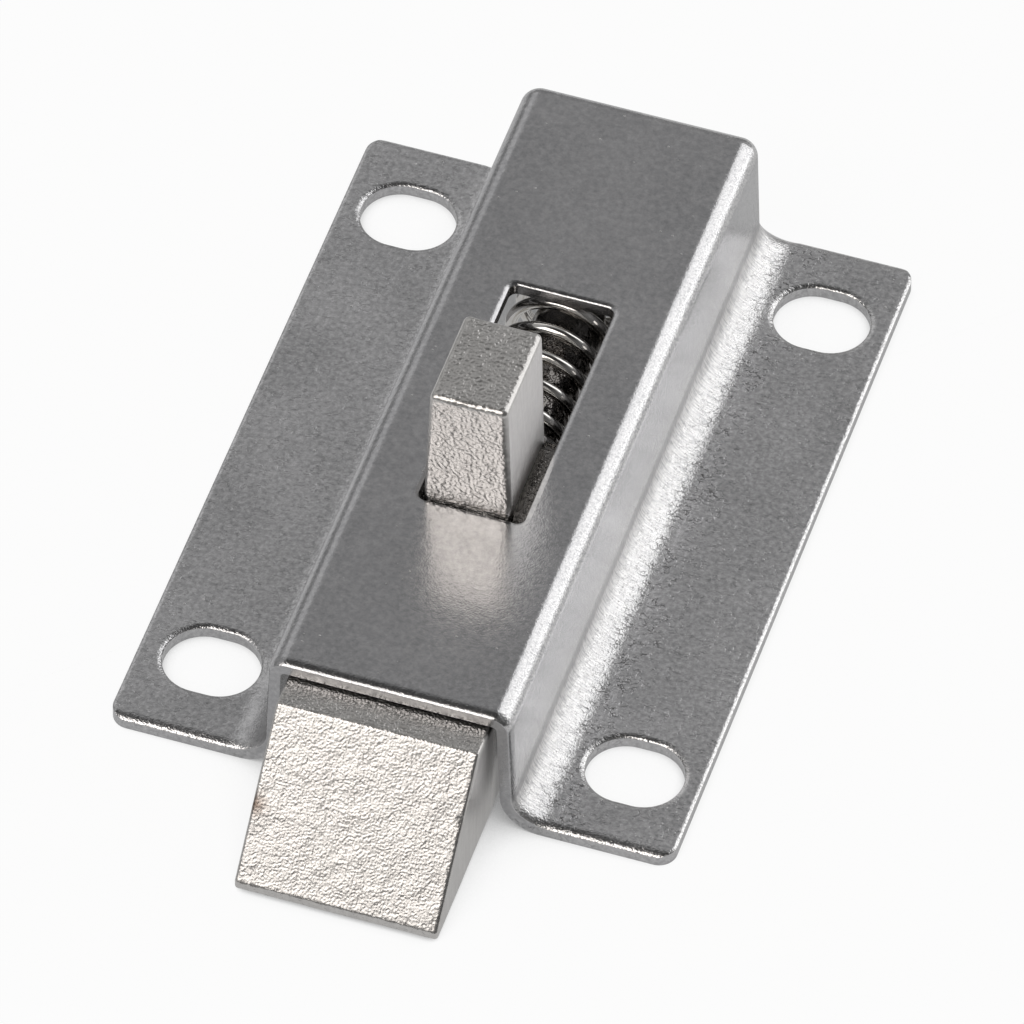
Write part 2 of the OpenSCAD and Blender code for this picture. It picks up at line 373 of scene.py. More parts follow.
# %% Grid blocks
def grid_block(xs, ys, zs, place):
    """Surface of a grid box; place turns grid points into points of the block."""
    counts = [len(xs), len(ys), len(zs)]
    index, points, faces = {}, [], []

    def at(*key):
        """Number of a grid point, which is made when it is first asked for."""
        if key not in index:
            index[key] = len(points)
            points.append((xs[key[0]], ys[key[1]], zs[key[2]]))
        return index[key]

    for axis in range(3):
        a, b = (axis + 1) % 3, (axis + 2) % 3
        for end in (0, counts[axis] - 1):
            for i in range(counts[a] - 1):
                for j in range(counts[b] - 1):
                    corners = []
                    for di, dj in ((0, 0), (1, 0), (1, 1), (0, 1)):
                        key = [0, 0, 0]
                        key[axis], key[a], key[b] = end, i + di, j + dj
                        corners.append(at(*key))
                    faces.append(corners if end else corners[::-1])
    return place(np.array(points)), faces


steps = [0, 1, 2]
print("a grid of 3 x 3 x 3 points has", len(grid_block(steps, steps, steps, np.array)[1]), "faces")

# %% [markdown]
# ## Bolt: rounded edges
# The edges of a casting are softly rounded. A point is rounded by going from the nearest place on a
# slightly smaller block straight out by the edge radius. This also gives the direction in which the
# grain of the skin lifts the point.

# %% Rounding
def nearest_inside(points, corners):
    """Nearest place in a convex outline for each 2D point; corners run anticlockwise."""
    best, distance = points.copy(), np.full(len(points), np.inf)
    outside = np.zeros(len(points), bool)
    for a, b in zip(corners, np.roll(corners, -1, axis=0)):
        along = b - a
        outside |= (points - a) @ np.array([along[1], -along[0]]) > TINY
        foot = a + np.clip((points - a) @ along / (along @ along), 0, 1)[:, None] * along
        gap = np.hypot(*(points - foot).T)
        closer = gap < distance
        best[closer], distance[closer] = foot[closer], gap[closer]
    return np.where(outside[:, None], best, points)


def inset(corners, r):
    """A convex outline moved in by r on every side."""
    result = []
    for i in range(len(corners)):
        before, here, after = corners[i - 1], corners[i], corners[(i + 1) % len(corners)]
        n1, n2 = [np.array([-(q - p)[1], (q - p)[0]]) / math.dist(p, q)
                  for p, q in ((before, here), (here, after))]
        result.append(np.linalg.solve(np.array([n1, n2]), np.array([n1 @ here + r, n2 @ here + r])))
    return np.array(result)


def rounded(points, corners, plane, axis, low, high, r):
    """Points of a prism moved onto its rounded surface, and the outward directions there."""
    core = points.copy()
    core[:, plane] = nearest_inside(points[:, plane], inset(np.array(corners, float), r))
    core[:, axis] = np.clip(points[:, axis], low + r, high - r)
    out = points - core
    out /= np.linalg.norm(out, axis=1)[:, None]
    return core + out * r, out


square = np.array([(0, 0), (4, 0), (4, 4), (0, 4)], float)
print("a square of 4 mm moved in by 1 mm starts at", inset(square, 1)[0].tolist())

# %% [markdown]
# ## Bolt: the skin of the casting
# A cast skin is never flat: it has slow waves of about a millimetre and soft grains of a third of a
# millimetre, both only hundredths of a millimetre high. Smooth noise at these two sizes lifts the
# points of the mesh. The finest pebbles are too small for the mesh, so the material draws them later.
# The sides came smoother out of the mould. One small nick sits on the nose's right edge.

# %% Cast skin
WAVE, GRAIN = 1.3, 0.35
NICK, NICK_R, NICK_DEPTH = Vector((7.15, -33.65, 6.5)), 0.35, 0.12
SIDE_CALM = 0.7


def cast_skin(points, out, height, waves):
    """How far and where to each point is lifted; the sides were left smoother than the rest."""
    hills = []
    for p in map(Vector, points):
        dent = math.exp(-((p - NICK).length / NICK_R) ** 2)
        hills.append(height * noise.noise(p / GRAIN) + waves * noise.noise(p / WAVE) - NICK_DEPTH * dent)
    return out * (np.array(hills) * (1 - SIDE_CALM * np.abs(out[:, 0])))[:, None]


print("grain %.2f mm, waves %.1f mm across" % (GRAIN, WAVE))

# %% [markdown]
# ## Bolt: body and nose
# The body is a plain bar whose front end is cut to a wedge, so that the strike can push it back. Its
# side view is a five-sided outline. The grid is finest on the nose, which is in full view, and coarse
# inside the housing.

# %% Bolt body
BOLT_W, BOLT_BOTTOM, BOLT_TOP, BOLT_REAR = 14.3, 0.3, 9.7, -2.5
NOSE_TIP_Y, NOSE_TIP_Z, NOSE_RIDGE_Y, NOSE_EDGE_R = -39.1, 1.05, -30.3, 0.25
NOSE_GRAIN, NOSE_WAVES = 0.01, 0.02
# points of the grid across, up, along the wedge, between wedge and housing, and inside the housing
ACROSS, UPWARDS, ON_WEDGE, ON_NECK, HIDDEN = 143, 24, 122, 20, 26


def place_body(p):
    """Grid points with their heights drawn down to the wedge."""
    top = np.interp(p[:, 1], [NOSE_TIP_Y, NOSE_RIDGE_Y, BOLT_REAR], [NOSE_TIP_Z, BOLT_TOP, BOLT_TOP])
    return np.column_stack([p[:, 0], p[:, 1], BOLT_BOTTOM + p[:, 2] * (top - BOLT_BOTTOM)])


xs = np.linspace(-BOLT_W / 2, BOLT_W / 2, ACROSS)
ys = np.concatenate([np.linspace(NOSE_TIP_Y, NOSE_RIDGE_Y, ON_WEDGE),
                     np.linspace(NOSE_RIDGE_Y, front_y, ON_NECK)[1:],
                     np.linspace(front_y, BOLT_REAR, HIDDEN)[1:]])
points, faces = grid_block(xs, ys, np.linspace(0, 1, UPWARDS), place_body)
side_view = [(NOSE_TIP_Y, BOLT_BOTTOM), (BOLT_REAR, BOLT_BOTTOM), (BOLT_REAR, BOLT_TOP),
             (NOSE_RIDGE_Y, BOLT_TOP), (NOSE_TIP_Y, NOSE_TIP_Z)]
points, out = rounded(points, side_view, [1, 2], 0, -BOLT_W / 2, BOLT_W / 2, NOSE_EDGE_R)
bolt = mesh_object("cast_bolt", points + cast_skin(points, out, NOSE_GRAIN, NOSE_WAVES), faces)
print("bolt body:", len(faces), "faces")

# %% [markdown]
# ## Bolt: thumb knob
# The knob narrows towards its top, so that it comes out of the mould. The real one is a little wider
# at its left and leans back at its top, and a straight block would look machined, so both are kept. It
# reaches down into the body, with which it is joined later.

# %% Thumb knob
KNOB_FRONT, KNOB_BACK, KNOB_W, KNOB_TOP_W, KNOB_TOP, KNOB_EDGE_R = -11.0, -3.5, 6.1, 5.3, 21.4, 0.42
KNOB_LEFT_EXTRA, KNOB_LEAN = 0.2, 0.35
KNOB_GRAIN, KNOB_WAVES = 0.02, 0.03
KNOB_ACROSS, KNOB_ALONG, KNOB_UPWARDS = 56, 70, 112
# the grid is coarse in the body, from the axis of the stem up, and fine above it
AXIS_Z, COARSE_Z, FINE_Z = 5.0, 8, 9


def knob_half(z):
    """Half the knob's width at a height."""
    return (KNOB_W + (KNOB_TOP_W - KNOB_W) * (z - CHANNEL_H) / (KNOB_TOP - CHANNEL_H)) / 2


def place_knob(p):
    """Grid points with their widths narrowed towards the top."""
    return np.column_stack([p[:, 0] * knob_half(p[:, 2]), p[:, 1], p[:, 2]])


xs = np.linspace(-1, 1, KNOB_ACROSS)
ys = np.linspace(KNOB_FRONT, KNOB_BACK, KNOB_ALONG)
zs = np.concatenate([[AXIS_Z, COARSE_Z], np.linspace(FINE_Z, KNOB_TOP, KNOB_UPWARDS)])
points, faces = grid_block(xs, ys, zs, place_knob)
front_view = [(-knob_half(AXIS_Z), AXIS_Z), (knob_half(AXIS_Z), AXIS_Z),
              (knob_half(KNOB_TOP), KNOB_TOP), (-knob_half(KNOB_TOP), KNOB_TOP)]
points, out = rounded(points, front_view, [0, 2], 1, KNOB_FRONT, KNOB_BACK, KNOB_EDGE_R)
top_share = np.clip((points[:, 2] - CHANNEL_H) / (KNOB_TOP - CHANNEL_H), 0, 1)
points[:, 0] -= KNOB_LEFT_EXTRA * (points[:, 0] < 0) * np.minimum(-points[:, 0], 1)
points[:, 1] += KNOB_LEAN * top_share * (points[:, 1] - KNOB_FRONT) / (KNOB_BACK - KNOB_FRONT)
knob = mesh_object("knob", points + cast_skin(points, out, KNOB_GRAIN, KNOB_WAVES), faces)
print("knob:", len(faces), "faces")

# %% [markdown]
# ## Bolt: stem, and one casting
# A round stem behind the body keeps the coil straight. It is as cast, so its skin is lumpy. The three
# solids are then joined to one. The Boolean leaves slivers a few thousandths of a millimetre wide along
# the seams. Merging points that lie within a hundredth of a millimetre removes them and keeps the mesh
# closed.

# %% Stem and union
STEM_D, STEM_END, STEM_BEVEL, STEM_ROOT = 5.4, 12.9, 0.6, 1
STEM_SIDES, STEM_RINGS = 96, 90
STEM_WAVE, STEM_WAVE_HEIGHT = 0.7, 0.14
SEAM_MERGE = 0.01

stem_profile = [(BOLT_REAR - STEM_ROOT, STEM_D / 2)]
stem_profile += [(y, STEM_D / 2) for y in np.linspace(BOLT_REAR, STEM_END - STEM_BEVEL, STEM_RINGS)]
stem_profile += [(STEM_END, STEM_D / 2 - STEM_BEVEL)]
around = np.linspace(0, 2 * math.pi, STEM_SIDES + 1)[:-1]
stem = loft("stem", [[(r * math.sin(a), y, AXIS_Z + r * math.cos(a)) for a in around]
                     for y, r in stem_profile])
for vertex in stem.data.vertices:
    radial = Vector((vertex.co.x, 0, vertex.co.z - AXIS_Z * MM)).normalized()
    vertex.co += radial * STEM_WAVE_HEIGHT * MM * noise.noise(vertex.co / (STEM_WAVE * MM))
bolt = combine(bolt, [knob, stem], "UNION")

shell = bmesh.new()
shell.from_mesh(bolt.data)
bmesh.ops.triangulate(shell, faces=shell.faces)
bmesh.ops.remove_doubles(shell, verts=shell.verts, dist=SEAM_MERGE * MM)
bmesh.ops.dissolve_degenerate(shell, edges=shell.edges, dist=SEAM_MERGE * MM)
shell.to_mesh(bolt.data)
shell.free()
for polygon in bolt.data.polygons:
    polygon.use_smooth = True
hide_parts("bolt")
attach(bolt, "slider")
print("cast bolt:", len(bolt.data.polygons), "faces")

# %% [markdown]
# ## Spring: one coil of drawn wire
# The coil is wound left-handed. Its first and last turns are closed, so that it stands square, and
# the eleven turns between are open. A curve with a round bevel could make it too, but a ring of points
# carried along the helix gives an even mesh. The coil rests on the end wall, so it is fixed to the
# plate. The real coil is squashed towards that wall when the bolt is drawn back; this mesh keeps its
# shape.

# %% Spring mesh
WIRE_D, COIL_R, OPEN_TURNS, COIL_START = 0.9, 4.05, 11, 218
SPRING_FRONT, SPRING_BACK, SPRING_END_GAP = -1.95, 26.45, 0.1
WIRE_SIDES, STEPS_PER_TURN = 16, 48

turns = np.arange((OPEN_TURNS + 2) * STEPS_PER_TURN + 1) / STEPS_PER_TURN
wire_y = np.interp(turns, [0, 1, OPEN_TURNS + 1, OPEN_TURNS + 2],
                   [SPRING_FRONT, SPRING_FRONT + WIRE_D, SPRING_BACK - WIRE_D, SPRING_BACK])
rings = []
for turn, y in zip(turns, wire_y):
    a = math.radians(COIL_START - 360 * turn)
    rings.append([])
    for b in np.linspace(0, 2 * math.pi, WIRE_SIDES + 1)[:-1]:
        r = COIL_R + WIRE_D / 2 * math.cos(b)
        rings[-1].append((r * math.sin(a), y + WIRE_D / 2 * math.sin(b), AXIS_Z + r * math.cos(a)))
spring = loft("coil_spring", rings)
for polygon in spring.data.polygons:
    polygon.use_smooth = True
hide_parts("spring")
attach(spring, "plate")
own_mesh(spring)
print("coil spring:", len(spring.data.polygons), "faces")

# %% [markdown]
# ## Colours and nodes
# Colours are written as sRGB hex values, the way a colour picker shows them, and turned into the
# linear values that a shader wants. One function adds a node with its settings and its links and gives
# back the output that is wanted. A Mix node has sockets for each kind of value: 2 and 3 take the two
# numbers, 6 and 7 the two colours, and the mixed colour comes from output 2. Patterns are laid out in
# millimetres, so that every scale below is one over a size in millimetres.

# %% Material helpers
def colour(code):
    """Linear RGBA from an sRGB hex code."""
    parts = [int(code[i:i + 2], 16) / 255 for i in (0, 2, 4)]
    return [p / 12.92 if p <= 0.04045 else ((p + 0.055) / 1.055) ** 2.4 for p in parts] + [1]


def add(tree, kind, inputs=(), out=0, **settings):
    """Add a node and give one output: settings are its properties, inputs are values or sockets."""
    node = tree.nodes.new("ShaderNode" + kind)
    for key, value in settings.items():
        setattr(node, key, value)
    for key, value in dict(inputs).items():
        if isinstance(value, bpy.types.NodeSocket):
            tree.links.new(value, node.inputs[key])
        else:
            node.inputs[key].default_value = value
    return node.outputs[out]


def new_material(name):
    """New material with its node tree and its shader."""
    material = bpy.data.materials.new(name)
    material.use_nodes = True
    return material, material.node_tree, material.node_tree.nodes["Principled BSDF"]


def place_mm(tree):
    """Place on the piece in millimetres."""
    place = add(tree, "TexCoord", out="Object")
    return add(tree, "VectorMath", {0: place, 1: (1000, 1000, 1000)}, operation="MULTIPLY")


def dress(obj, material):
    """Give an object this material alone."""
    obj.data.materials.clear()
    obj.data.materials.append(material)
    print(material.name, len(material.node_tree.nodes), "nodes")


print("mid grey 808080 is", round(colour("808080")[0], 3), "in linear light")

# %% [markdown]
# ## Stainless sheet, pickled: where things are
# Rolled stainless steel, pressed and then pickled in acid, is a satin grey metal. What the eye sees on
# it depends on the place: the bends were stretched, the flanges lay flat under the press, and the
# right-hand side gets a painted highlight. Masks painted onto the mesh would tie these to that one
# mesh. Masks worked out from the height, the side and the direction of the face follow the shape by
# themselves.

# %% Stainless sheet: masks
material, tree, shader = new_material("stainless_sheet_pickled")
shader.inputs["Metallic"].default_value = 1
mm = place_mm(tree)
xyz = add(tree, "SeparateXYZ", {0: mm}).node.outputs
up = add(tree, "SeparateXYZ", {0: add(tree, "NewGeometry", out="Normal")}, out="Z")

# 1 on a bend, 0 on a level face and on an upright one
tilt = add(tree, "Math", {0: 1, 1: up}, operation="SUBTRACT", use_clamp=True)
bend = add(tree, "Math", {0: tilt, 1: up}, operation="MULTIPLY", use_clamp=True)
bend = add(tree, "Math", {0: bend, 1: 4}, operation="MULTIPLY")
bend = add(tree, "Math", {0: bend, 1: 0.5}, operation="POWER")
# 1 on the flanges, on the lower half, near the foot bend, on that bend, and on the right-hand side
flange = add(tree, "MapRange", {"Value": xyz["Z"], "From Min": 1.6, "From Max": 1.0})
low = add(tree, "MapRange", {"Value": xyz["Z"], "From Min": 8, "From Max": 5})
side = add(tree, "Math", {0: xyz["X"]}, operation="ABSOLUTE")
foot = add(tree, "MapRange", {"Value": side, "From Min": 14.4, "From Max": 12})
fillet = add(tree, "MapRange", {"Value": side, "From Min": 12, "From Max": 11.4})
right_hand = add(tree, "Math", {0: xyz["X"], 1: 0}, operation="GREATER_THAN")
print("sheet masks:", len(tree.nodes), "nodes")

# %% [markdown]
# ## Stainless sheet: mottle, grain and hair
# Pickling leaves a soft mottle a third of a millimetre across, under clouds of some millimetres. The
# grain that stands up on a bend is about 0.03 mm in real steel, which would not show, so it is drawn at
# 0.13 mm. On the foot bends the die dragged the metal into fine hairs that run up the bend.

# %% Stainless sheet: mottle, grain and hair
MOTTLE, CLOUD, STEEL_GRAIN = 0.35, 7, 0.13
HAIR_LEN, HAIR_W = 0.8, 0.12

mottle = add(tree, "TexNoise", {"Vector": mm, "Scale": 1 / MOTTLE, "Detail": 3, "Roughness": 0.6})
cloud = add(tree, "TexNoise", {"Vector": mm, "Scale": 1 / CLOUD, "Detail": 2})
grain = add(tree, "TexNoise", {"Vector": mm, "Scale": 1 / STEEL_GRAIN, "Detail": 1})
per_hair = (1 / HAIR_LEN, 1 / HAIR_W, 1 / HAIR_LEN)
across = add(tree, "VectorMath", {0: mm, 1: per_hair}, operation="MULTIPLY")
hair = add(tree, "TexNoise", {"Vector": across, "Scale": 1, "Detail": 1})
print("mottle %.2f mm, grain %.2f mm, hairs %.2f mm wide" % (MOTTLE, STEEL_GRAIN, HAIR_W))

# %% [markdown]
# ## Stainless sheet: hair cracks
# Short dark hair cracks show on the flanges and crowd at the right-hand foot bend. A crack follows the
# borders of grains, so the borders of a bent cell texture are used, and a noise keeps only short
# pieces of them.

# %% Stainless sheet: cracks
CELL, CELL_BEND, BEND_REACH, CRACK_RUN = 0.65, 0.6, 1.2, 0.8

bent = add(tree, "TexNoise", {"Vector": mm, "Scale": 1 / CELL_BEND, "Detail": 2}, out="Color")
bent = add(tree, "VectorMath", {0: bent, 1: [BEND_REACH] * 3, 2: mm}, operation="MULTIPLY_ADD")
border = add(tree, "TexVoronoi", {"Vector": bent, "Scale": 1 / CELL}, out="Distance",
             feature="DISTANCE_TO_EDGE")
line = add(tree, "MapRange", {"Value": border, "From Min": 0.07, "From Max": 0.015})
pieces = add(tree, "TexNoise", {"Vector": mm, "Scale": 1 / CRACK_RUN, "Detail": 1})
pieces = add(tree, "MapRange", {"Value": pieces, "From Min": 0.4, "From Max": 0.62})
crack = add(tree, "Math", {0: line, 1: pieces}, operation="MULTIPLY")
crack_share = add(tree, "MapRange", {"Value": flange, "To Min": 0.05, "To Max": 0.6})
near_foot = add(tree, "Math", {0: foot, 1: right_hand}, operation="MULTIPLY")
near_foot = add(tree, "Math", {0: near_foot, 1: 2, 2: 1}, operation="MULTIPLY_ADD")
crack_share = add(tree, "Math", {0: near_foot, 1: crack_share}, operation="MULTIPLY")
crack = add(tree, "Math", {0: crack, 1: crack_share}, operation="MULTIPLY")
unbent = add(tree, "MapRange", {"Value": bend, "From Min": 0.7, "From Max": 0.3})
crack = add(tree, "Math", {0: crack, 1: unbent}, operation="MULTIPLY")
print("cracks along cells of %.2f mm" % CELL)

# %% [markdown]
# ## Stainless sheet: bright specks
# Small bright specks are where dust was pressed in or a burr was knocked off. A cell texture has one
# point in each cell, so the distance to it gives a dot, and the cell's random colour picks which cells
# get one.

# %% Stainless sheet: specks
SPECK_GAP = 0.95

dots = add(tree, "TexVoronoi", {"Vector": mm, "Scale": 1 / SPECK_GAP}).node.outputs
dot = add(tree, "MapRange", {"Value": dots["Distance"], "From Min": 0.1, "From Max": 0.04})
some = add(tree, "SeparateColor", {0: dots["Color"]})
some = add(tree, "MapRange", {"Value": some, "From Min": 0.5, "From Max": 0.9})
speck = add(tree, "Math", {0: dot, 1: some}, operation="MULTIPLY")
print("one speck at most in each %.2f mm" % SPECK_GAP)

# %% [markdown]
# ## Stainless sheet: colour
# The mottle goes from a darker to a paler grey, and the flanges are paler than the channel. Cracks are
# dull and specks are white. A painted highlight brightens the bends, in hairs at the foot and in a fine
# speckle at the top, much more on the right-hand side. The walls and other upright faces get a little
# painted shade.

# %% Stainless sheet: colour
dark = add(tree, "Mix", {0: flange, 6: colour("AEAEB0"), 7: colour("B6B6B7")}, out=2, data_type="RGBA")
pale = add(tree, "Mix", {0: flange, 6: colour("D6D5D6"), 7: colour("F4F3F4")}, out=2, data_type="RGBA")
patch = add(tree, "Math", {0: cloud, 1: 0.4, 2: mottle}, operation="MULTIPLY_ADD")
patch = add(tree, "MapRange", {"Value": patch, "From Min": 0.42, "From Max": 0.98})
tone = add(tree, "Mix", {0: patch, 6: dark, 7: pale}, out=2, data_type="RGBA")
dull = add(tree, "Math", {0: crack, 1: 0.45}, operation="MULTIPLY", use_clamp=True)
tone = add(tree, "Mix", {0: dull, 6: tone, 7: colour("5E5C5C")}, out=2, data_type="RGBA")
tone = add(tree, "Mix", {0: speck, 6: tone, 7: colour("F4F3F1")}, out=2, data_type="RGBA")

middle = {"From Min": 0.35, "From Max": 0.65}
hairs = add(tree, "MapRange", {"Value": hair, **middle, "To Min": 0.3, "To Max": 1.6})
speckle = add(tree, "MapRange", {"Value": grain, **middle, "To Min": 0.05, "To Max": 0.9})
strands = add(tree, "Mix", {0: low, 2: speckle, 3: hairs})
# painted highlight along the bends, stronger on the right-hand side
rubbed = add(tree, "MapRange", {"Value": right_hand, "To Min": 0.15, "To Max": 0.8})
rubbed = add(tree, "Math", {0: rubbed, 1: strands}, operation="MULTIPLY")
bright = add(tree, "Math", {0: bend, 1: rubbed}, operation="MULTIPLY", use_clamp=True)
tone = add(tree, "Mix", {0: bright, 6: tone, 7: colour("F2F1F0")}, out=2, data_type="RGBA")
# painted shade: upright faces such as the walls are painted a little darker
upright = add(tree, "MapRange", {"Value": up, "From Min": 0.3, "From Max": 0.1, "To Max": 0.3})
tone = add(tree, "Mix", {0: upright, 6: tone, 7: colour("8A8A8B")}, out=2, data_type="RGBA")
tree.links.new(tone, shader.inputs["Base Color"])
print("sheet colour:", len(tree.nodes), "nodes so far")

# %% [markdown]
# ## Stainless sheet: roughness and relief
# Pickled steel is satin: its roughness lies near 0.2, more on specks and on the drawn foot bend, most on
# that bend's steep part. The relief is added up in micrometres and goes into one bump node, whose
# distance is one micrometre. Real displacement of such heights would need far too many faces.

# %% Stainless sheet: roughness and relief
MICROMETRE = 0.001 * MM
# relief in micrometres: of the grain on flat faces, top bends and foot bends, and of the rest
FLAT_GRAIN_UM, TOP_GRAIN_UM, FOOT_GRAIN_UM = 9, 12, 38
MOTTLE_UM, FLANGE_EXTRA_UM, CRACK_UM, SPECK_UM = 9, 18, -9, 12

rough = add(tree, "MapRange", {"Value": mottle, "To Min": 0.18, "To Max": 0.26})
rough = add(tree, "Math", {0: speck, 1: 0.3, 2: rough}, operation="MULTIPLY_ADD")
drawn = add(tree, "Math", {0: bend, 1: low}, operation="MULTIPLY")
drawn = add(tree, "Math", {0: drawn, 1: fillet}, operation="MULTIPLY")
rough = add(tree, "Math", {0: drawn, 1: 0.08, 2: rough}, operation="MULTIPLY_ADD")
steep = add(tree, "MapRange", {"Value": up, "From Min": 0.75, "From Max": 0.45})
lowest = add(tree, "MapRange", {"Value": xyz["Z"], "From Min": 3.8, "From Max": 2.6})
steep = add(tree, "Math", {0: steep, 1: lowest}, operation="MULTIPLY")
steep = add(tree, "Math", {0: steep, 1: fillet}, operation="MULTIPLY")
rough = add(tree, "Math", {0: steep, 1: 0.15, 2: rough}, operation="MULTIPLY_ADD")
tree.links.new(rough, shader.inputs["Roughness"])

stood_up = add(tree, "MapRange", {"Value": low, "To Min": TOP_GRAIN_UM, "To Max": FOOT_GRAIN_UM})
lift = add(tree, "Math", {0: bend, 1: stood_up, 2: FLAT_GRAIN_UM}, operation="MULTIPLY_ADD")
height = add(tree, "Math", {0: grain, 1: lift}, operation="MULTIPLY")
soft = add(tree, "Math", {0: flange, 1: FLANGE_EXTRA_UM, 2: MOTTLE_UM}, operation="MULTIPLY_ADD")
height = add(tree, "Math", {0: mottle, 1: soft, 2: height}, operation="MULTIPLY_ADD")
height = add(tree, "Math", {0: crack, 1: CRACK_UM, 2: height}, operation="MULTIPLY_ADD")
height = add(tree, "Math", {0: speck, 1: SPECK_UM, 2: height}, operation="MULTIPLY_ADD")
bump = add(tree, "Bump", {"Height": height, "Distance": MICROMETRE, "Strength": 1})
tree.links.new(bump, shader.inputs["Normal"])
dress(housing, material)

# %% [markdown]
# ## Cast stainless steel, blasted: colour and polish
# The casting's skin is brighter and a little warmer than the sheet, with a mottle and faint upright
# streaks. What lies inside the housing is painted dark, as painted shade from the housing over it, and
# it is shinier, wet with oil. One small rust-brown stain with a ragged rim sits at the left edge of
# the nose. The distance from a point gives its place, so that nothing has to be painted.

# %% Casting: colour and polish
STAIN, STAIN_R, STAIN_RAG = (-7.0, -35.3, 4.9), 1.2, 0.7
CAST_MOTTLE = 0.5
PER_STREAK = (4, 4, 0.3)

material, tree, shader = new_material("cast_stainless_blasted")
shader.inputs["Metallic"].default_value = 1
mm = place_mm(tree)
xyz = add(tree, "SeparateXYZ", {0: mm}).node.outputs
mottle = add(tree, "TexNoise", {"Vector": mm, "Scale": 1 / CAST_MOTTLE, "Detail": 4})
tall = add(tree, "VectorMath", {0: mm, 1: PER_STREAK}, operation="MULTIPLY")
streak = add(tree, "TexNoise", {"Vector": tall, "Scale": 1, "Detail": 2})
blend = add(tree, "Math", {0: mottle, 1: streak}, operation="ADD")
blend = add(tree, "Math", {0: blend, 1: 0.5}, operation="MULTIPLY")
tone = add(tree, "Mix", {0: blend, 6: colour("C0BDBB"), 7: colour("EEECE9")}, out=2, data_type="RGBA")
# painted shade: the casting inside the housing is painted dark; there it is also made shinier, as oil
# makes it
behind = add(tree, "MapRange", {"Value": xyz["Y"], "From Min": front_y + 0.5, "From Max": front_y + 1.5})
under = add(tree, "MapRange", {"Value": xyz["Z"], "From Min": 11.6, "From Max": 10.2})
inside = add(tree, "Math", {0: behind, 1: under}, operation="MULTIPLY")
tone = add(tree, "Mix", {0: inside, 6: tone, 7: colour("75726F")}, out=2, data_type="RGBA")
gap = add(tree, "VectorMath", {0: mm, 1: STAIN}, out="Value", operation="DISTANCE")
ragged = add(tree, "Math", {0: mottle, 1: -2 * STAIN_RAG, 2: gap}, operation="MULTIPLY_ADD")
rim = {"From Min": STAIN_R - STAIN_RAG, "From Max": -STAIN_RAG}
stain = add(tree, "MapRange", {"Value": ragged, **rim, "To Max": 0.85})
tone = add(tree, "Mix", {0: stain, 6: tone, 7: colour("6A4C32")}, out=2, data_type="RGBA")
tree.links.new(tone, shader.inputs["Base Color"])
rough = add(tree, "MapRange", {"Value": mottle, "To Min": 0.28, "To Max": 0.38})
rough = add(tree, "Mix", {0: inside, 2: rough, 3: 0.1})
tree.links.new(rough, shader.inputs["Roughness"])
print("casting colour:", len(tree.nodes), "nodes so far")

# %% [markdown]
# ## Cast stainless steel: pebbles
# Blasting grit leaves close, round pebbles, about 0.17 mm on the nose and 0.24 mm on the knob. They
# would need millions of faces, so they are a bump, again in micrometres. They stand highest on the
# knob's front and top, lower on the slope of the nose, and hardly at all on the sides.

# %% Casting: pebbles
NOSE_PEBBLE, KNOB_PEBBLE = 0.17, 0.24
SLOPE_UM, FRONT_UM, TOP_EXTRA_UM = 30, 74, 42

normal = add(tree, "SeparateXYZ", {0: add(tree, "NewGeometry", out="Normal")}).node.outputs
frontal = {"From Min": -0.85, "From Max": -1, "To Min": SLOPE_UM, "To Max": FRONT_UM}
pebble_um = add(tree, "MapRange", {"Value": normal["Y"], **frontal})
upward = {"From Min": 0.85, "From Max": 0.98, "To Max": TOP_EXTRA_UM}
level_um = add(tree, "MapRange", {"Value": normal["Z"], **upward})
pebble_um = add(tree, "Math", {0: pebble_um, 1: level_um}, operation="ADD")
sideways = add(tree, "Math", {0: normal["X"]}, operation="ABSOLUTE")
calm = {"From Min": 0.3, "From Max": 0.8, "To Min": 1, "To Max": 0.15}
share = add(tree, "MapRange", {"Value": sideways, **calm})
pebble_um = add(tree, "Math", {0: share, 1: pebble_um}, operation="MULTIPLY")
sizes = {"To Min": 1 / NOSE_PEBBLE, "To Max": 1 / KNOB_PEBBLE}
per_mm = add(tree, "MapRange", {"Value": xyz["Z"], "From Min": 10, "From Max": 11, **sizes})
pebble = add(tree, "TexNoise", {"Vector": mm, "Scale": per_mm, "Detail": 0.5, "Roughness": 0.45})
height = add(tree, "Math", {0: pebble, 1: pebble_um}, operation="MULTIPLY")
bump = add(tree, "Bump", {"Height": height, "Distance": MICROMETRE, "Strength": 1})
tree.links.new(bump, shader.inputs["Normal"])
dress(bolt, material)

# %% [markdown]
# ## Spring wire, drawn
# Drawn wire is pulled through a die, so it is smooth and shiny, with a roughness near 0.1. A thin film
# of oil and dust makes its colour and its polish uneven. One noise drives both, as one film does.

# %% Wire
FILM, FILM_HEIGHT = 0.8, 0.006

material, tree, shader = new_material("spring_wire_drawn")
shader.inputs["Metallic"].default_value = 1
film = add(tree, "TexNoise", {"Vector": place_mm(tree), "Scale": 1 / FILM, "Detail": 3})
tone = add(tree, "Mix", {0: film, 6: colour("DCD8D2"), 7: colour("F6F5F3")}, out=2, data_type="RGBA")
tree.links.new(tone, shader.inputs["Base Color"])
rough = add(tree, "MapRange", {"Value": film, "To Min": 0.16, "To Max": 0.08})
tree.links.new(rough, shader.inputs["Roughness"])
bump = add(tree, "Bump", {"Height": film, "Distance": FILM_HEIGHT * MM, "Strength": 1})
tree.links.new(bump, shader.inputs["Normal"])
dress(spring, material)

# %% [markdown]
# ## Floor
# The bolt lies on a white table. Lamps strong enough to make a floor pure white would burn out the
# metal, so the floor is plain white paint for the lamps, and shines by itself only for rays that come
# from the camera or from a mirror. Ambient occlusion dims that shine near the bolt, which keeps the
# contact shadow. In the metal the table looks darker still, as a table under a bolt does.

# %% Floor
FLOOR_HALF = 2000
SHADOW_REACH = 15 * MM
SEEN_SHARE = 0.95

